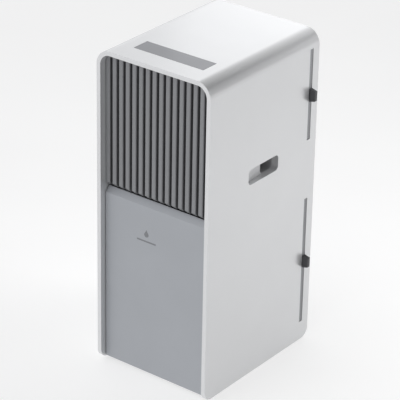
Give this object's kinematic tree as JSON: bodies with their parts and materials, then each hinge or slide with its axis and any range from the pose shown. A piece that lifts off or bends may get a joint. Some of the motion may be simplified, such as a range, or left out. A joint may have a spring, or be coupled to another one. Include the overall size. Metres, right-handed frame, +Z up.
{
  "type": "dehumidifier",
  "caption": "Tall upright dehumidifier with an inverted-U sleeve, slatted front outlet, pull-out water tank, side slide-out filters and carry pockets.",
  "frame": {"origin": "centre of the footprint on the floor plane that the four feet stand on", "axes": "+Z up, the front with the grille and the tank faces -Y, the side with the filter tabs faces +X"},
  "size_m": [0.252, 0.304, 0.6],
  "materials": {
    "shell_paint": "pale silver-white satin paint on a moulded shell",
    "panel_plastic": "fine-grained blue-grey moulding",
    "grille_plastic": "satin mid grey moulding",
    "strip_gloss": "smooth grey touch surface",
    "frame_plastic": "plain grey moulding",
    "filter_plastic": "plain grey moulding",
    "filter_mesh": "woven nylon mesh",
    "tab_plastic": "fine-grained dark grey moulding",
    "dark_plastic": "satin black moulding",
    "pocket_plastic": "pale fine-grained moulding",
    "pale_plastic": "plain off-white moulding",
    "zinc_steel": "zinc-coated sheet and turned steel",
    "rubber": "matt black rubber",
    "fin_aluminium": "thin pressed fins",
    "copper": "drawn copper tube",
    "black_steel": "black enamel on drawn steel",
    "board_green": "green solder mask",
    "tank_clear": "translucent smoke moulding",
    "lid_plastic": "plain grey moulding"
  },
  "bodies": {
    "cabinet": {"sleeve": "shell_paint", "front_grille": "grille_plastic", "base_pan": "zinc_steel", "rubber_feet": "rubber", "tank_bulkhead": "frame_plastic", "mid_shelf": "frame_plastic", "rear_cover": "frame_plastic", "rear_screws": "zinc_steel", "upper_guides": "frame_plastic", "lower_guides": "frame_plastic", "pocket_right": "pocket_plastic", "pocket_left": "pocket_plastic", "touch_strip": "strip_gloss", "display_board": "board_green", "fan_shroud": "frame_plastic", "motor_bracket": "zinc_steel", "fan_motor": "zinc_steel", "evaporator_core": "fin_aluminium", "evaporator_plates": "zinc_steel", "evaporator_bends": "copper", "condenser_core": "fin_aluminium", "condenser_plates": "zinc_steel", "condenser_bends": "copper", "compressor": "black_steel", "compressor_foot": "black_steel", "grommets": "rubber", "terminal_cap": "dark_plastic", "accumulator": "black_steel", "discharge_pipe": "copper", "suction_pipe": "copper", "capillary_pipe": "copper", "control_box": "frame_plastic", "control_lid": "frame_plastic", "main_board": "board_green", "run_capacitor": "fin_aluminium", "drip_tray": "frame_plastic", "drain_pipe": "frame_plastic", "drain_spout": "dark_plastic", "humidity_sensor": "pale_plastic", "tank_sensor": "dark_plastic", "power_inlet": "dark_plastic", "inlet_pins": "zinc_steel"},
    "tank": {"tank_bucket": "tank_clear", "tank_front": "panel_plastic", "tank_lid": "lid_plastic"},
    "bail": {"tank_bail": "dark_plastic"},
    "float": {"tank_float": "pale_plastic"},
    "upper_filter": {"upper_filter_frame": "filter_plastic", "upper_filter_mesh": "filter_mesh", "upper_filter_tab": "tab_plastic"},
    "lower_filter": {"lower_filter_frame": "filter_plastic", "lower_filter_mesh": "filter_mesh", "lower_filter_tab": "tab_plastic"},
    "fan": {"fan_impeller": "dark_plastic", "fan_shaft": "zinc_steel"},
    "plug": {"drain_plug": "rubber"}
  },
  "joints": [
    {"name": "tank_slide", "type": "slide", "parent": "cabinet", "child": "tank", "axis": [0, -1, 0], "range_m": [0, 0.18]},
    {"name": "bail_hinge", "type": "hinge", "parent": "tank", "child": "bail", "pos_m": [0, -0.0775, 0.276], "axis": [1, 0, 0], "range_deg": [0, 90]},
    {"name": "float_hinge", "type": "hinge", "parent": "tank", "child": "float", "pos_m": [-0.07, -0.032, 0.248], "axis": [1, 0, 0], "range_deg": [-18, 0]},
    {"name": "upper_filter_slide", "type": "slide", "parent": "cabinet", "child": "upper_filter", "axis": [1, 0, 0], "range_m": [0, 0.24]},
    {"name": "lower_filter_slide", "type": "slide", "parent": "cabinet", "child": "lower_filter", "axis": [1, 0, 0], "range_m": [0, 0.24]},
    {"name": "fan_spin", "type": "hinge", "parent": "cabinet", "child": "fan", "pos_m": [0, -0.05, 0.4735], "axis": [0, 1, 0], "continuous": true},
    {"name": "plug_slide", "type": "slide", "parent": "cabinet", "child": "plug", "axis": [0, 1, 0], "range_m": [0, 0.03]}
  ]
}
